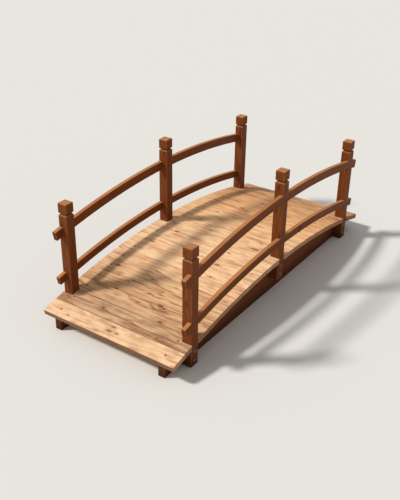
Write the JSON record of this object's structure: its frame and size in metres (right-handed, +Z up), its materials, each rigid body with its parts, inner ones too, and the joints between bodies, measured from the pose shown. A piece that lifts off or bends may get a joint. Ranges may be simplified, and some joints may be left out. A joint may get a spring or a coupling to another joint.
{
  "type": "small arched garden footbridge",
  "caption": "Small arched timber garden footbridge: boarded deck on side beams, with posts and curved hand rails on both sides.",
  "frame": {"origin": "on the ground, under the middle of the span", "axes": "+X along the bridge, +Y across it to the left, +Z up"},
  "size_m": [1.5204, 0.628, 0.558],
  "materials": {
    "stained_wood": "red-brown stained softwood",
    "deck_wood": "pale weathered softwood",
    "fastener_steel": "dull zinc-plated bolts, nuts and screws"
  },
  "bodies": {
    "root": {"side_beam_left": "stained_wood", "upper_rail_left": "stained_wood", "lower_rail_left": "stained_wood", "post_left_near": "stained_wood", "post_left_middle": "stained_wood", "post_left_far": "stained_wood", "side_beam_right": "stained_wood", "upper_rail_right": "stained_wood", "lower_rail_right": "stained_wood", "post_right_near": "stained_wood", "post_right_middle": "stained_wood", "post_right_far": "stained_wood", "deck_board_01": "deck_wood", "deck_board_02": "deck_wood", "deck_board_03": "deck_wood", "deck_board_04": "deck_wood", "deck_board_05": "deck_wood", "deck_board_06": "deck_wood", "deck_board_07": "deck_wood", "deck_board_08": "deck_wood", "deck_board_09": "deck_wood", "deck_board_10": "deck_wood", "deck_board_11": "deck_wood", "deck_board_12": "deck_wood", "deck_board_13": "deck_wood", "deck_board_14": "deck_wood", "deck_board_15": "deck_wood", "deck_board_16": "deck_wood", "deck_board_17": "deck_wood", "deck_board_18": "deck_wood", "deck_board_19": "deck_wood", "deck_board_20": "deck_wood"}
  },
  "joints": []
}
